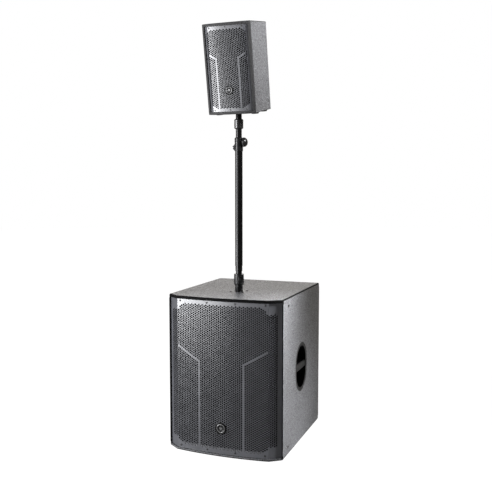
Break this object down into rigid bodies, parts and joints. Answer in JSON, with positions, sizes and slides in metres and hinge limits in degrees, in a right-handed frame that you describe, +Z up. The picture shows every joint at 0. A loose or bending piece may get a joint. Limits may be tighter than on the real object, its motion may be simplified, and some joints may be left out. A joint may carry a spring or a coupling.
{
  "type": "pa speaker",
  "caption": "Column PA system: powered bow-front subwoofer, telescopic speaker pole and a tilted two-way satellite on top.",
  "frame": {"origin": "on the floor under the middle of the subwoofer's box", "axes": "+X to the right seen from the front, +Y towards the back, +Z up; the grilles face -Y"},
  "size_m": [0.54, 0.6499, 1.9246],
  "materials": {
    "cabinet_paint": "textured dark grey polyurea paint on birch plywood",
    "bare_plywood": "bare birch plywood",
    "grille_steel": "satin dark grey powder coat on steel sheet",
    "acoustic_foam": "open-cell black foam",
    "zinc_screws": "zinc plated",
    "black_screws": "black zinc plated",
    "badge_metal": "brushed aluminium",
    "cast_frame": "black painted casting",
    "magnet_steel": "ferrite magnet and steel plates",
    "surround_cloth": "coated cloth",
    "cone_paper": "pressed paper",
    "coil_wire": "enamelled copper wire",
    "black_plastic": "fine grain moulded black plastic",
    "foot_rubber": "matt black rubber",
    "pole_paint": "black semi-gloss powder coat",
    "amp_aluminium": "black anodised",
    "tray_steel": "plated steel sheet",
    "circuit_board": "green circuit board with parts",
    "nickel_sockets": "satin nickel"
  },
  "bodies": {
    "subwoofer": {"sub_top_panel": "cabinet_paint", "sub_bottom_panel": "cabinet_paint", "sub_left_side": "cabinet_paint", "sub_right_side": "cabinet_paint", "sub_back_panel": "cabinet_paint", "sub_baffle": "bare_plywood", "sub_brace": "bare_plywood", "sub_grille": "grille_steel", "sub_grille_foam": "acoustic_foam", "sub_grille_screws": "black_screws", "sub_badge": "badge_metal", "sub_woofer_frame": "cast_frame", "sub_woofer_magnet": "magnet_steel", "sub_port_tubes": "black_plastic", "sub_left_handle": "black_plastic", "sub_right_handle": "black_plastic", "sub_panel_screws": "black_screws", "sub_feet": "foot_rubber", "sub_pole_socket": "black_plastic", "sub_rigging_inserts": "black_screws", "amp_plate": "amp_aluminium", "amp_tray": "tray_steel", "amp_board": "circuit_board", "amp_signal_sockets": "nickel_sockets", "amp_power_inlet": "black_plastic"},
    "sub_cone": {"sub_woofer_cone": "cone_paper", "sub_voice_coil": "coil_wire", "sub_woofer_surround": "surround_cloth", "sub_woofer_spider": "surround_cloth"},
    "level_knob": {"amp_level_knob": "black_plastic"},
    "crossover_knob": {"amp_crossover_knob": "black_plastic"},
    "polarity_button": {"amp_polarity_button": "black_plastic"},
    "power_switch": {"amp_power_switch": "black_plastic"},
    "pole_lower": {"pole_foot": "pole_paint", "pole_foot_collar": "black_plastic", "pole_lower_tube": "pole_paint", "pole_clamp_collar": "black_plastic", "pole_guide_bush": "black_plastic"},
    "clamp_knob": {"pole_clamp_knob": "black_plastic"},
    "safety_pin": {"pole_safety_pin": "zinc_screws"},
    "pole_upper": {"pole_upper_tube": "pole_paint", "pole_stop_ring": "black_plastic"},
    "top_bush": {"pole_top_bush": "black_plastic"},
    "sat_cone": {"sat_woofer_cone": "cone_paper", "sat_woofer_surround": "surround_cloth"},
    "satellite": {"sat_cabinet": "cabinet_paint", "sat_back_panel": "cabinet_paint", "sat_baffle": "bare_plywood", "sat_grille": "grille_steel", "sat_grille_foam": "acoustic_foam", "sat_grille_screws": "black_screws", "sat_badge": "badge_metal", "sat_woofer_frame": "cast_frame", "sat_woofer_magnet": "magnet_steel", "sat_horn": "black_plastic", "sat_compression_driver": "magnet_steel", "sat_crossover_board": "circuit_board", "sat_pole_socket": "black_plastic", "sat_input_plate": "nickel_sockets", "sat_feet": "foot_rubber"}
  },
  "joints": [
    {"name": "woofer_excursion", "type": "slide", "parent": "subwoofer", "child": "sub_cone", "axis": [0, -1, 0], "range_m": [-0.007, 0.007], "stiffness_N_per_m": 10000, "deforming": ["sub_woofer_surround", "sub_woofer_spider"]},
    {"name": "level_turn", "type": "hinge", "parent": "subwoofer", "child": "level_knob", "pos_m": [-0.095, 0.312, 0.372], "axis": [0, 1, 0], "range_deg": [-150, 150]},
    {"name": "crossover_turn", "type": "hinge", "parent": "subwoofer", "child": "crossover_knob", "pos_m": [-0.05, 0.312, 0.372], "axis": [0, 1, 0], "range_deg": [-150, 150]},
    {"name": "polarity_press", "type": "slide", "parent": "subwoofer", "child": "polarity_button", "axis": [0, -1, 0], "range_m": [0, 0.0025], "stiffness_N_per_m": 500},
    {"name": "power_rocker", "type": "hinge", "parent": "subwoofer", "child": "power_switch", "pos_m": [0.095, 0.31, 0.372], "axis": [-1, 0, 0], "range_deg": [0, 16]},
    {"name": "pole_lift", "type": "slide", "parent": "subwoofer", "child": "pole_lower", "axis": [0, 0, 1], "range_m": [0, 0.12]},
    {"name": "clamp_turn", "type": "hinge", "parent": "pole_lower", "child": "clamp_knob", "pos_m": [0.035, -0.096, 1.388], "axis": [1, 0, 0], "continuous": true},
    {"name": "pin_pull", "type": "slide", "parent": "pole_lower", "child": "safety_pin", "axis": [-1, 0, 0], "range_m": [0, 0.008], "stiffness_N_per_m": 400},
    {"name": "pole_telescope", "type": "slide", "parent": "pole_lower", "child": "pole_upper", "axis": [0, 0, 1], "range_m": [-0.035, 0.4]},
    {"name": "satellite_swivel", "type": "hinge", "parent": "pole_upper", "child": "top_bush", "pos_m": [0, -0.096, 1.522], "axis": [0, 0, 1], "continuous": true},
    {"name": "satellite_lift", "type": "slide", "parent": "top_bush", "child": "satellite", "axis": [0, 0, 1], "range_m": [0, 0.1]},
    {"name": "mid_woofer_excursion", "type": "slide", "parent": "satellite", "child": "sat_cone", "axis": [0, -0.9816, -0.1908], "range_m": [-0.003, 0.003], "stiffness_N_per_m": 2500, "deforming": ["sat_woofer_surround"]}
  ]
}
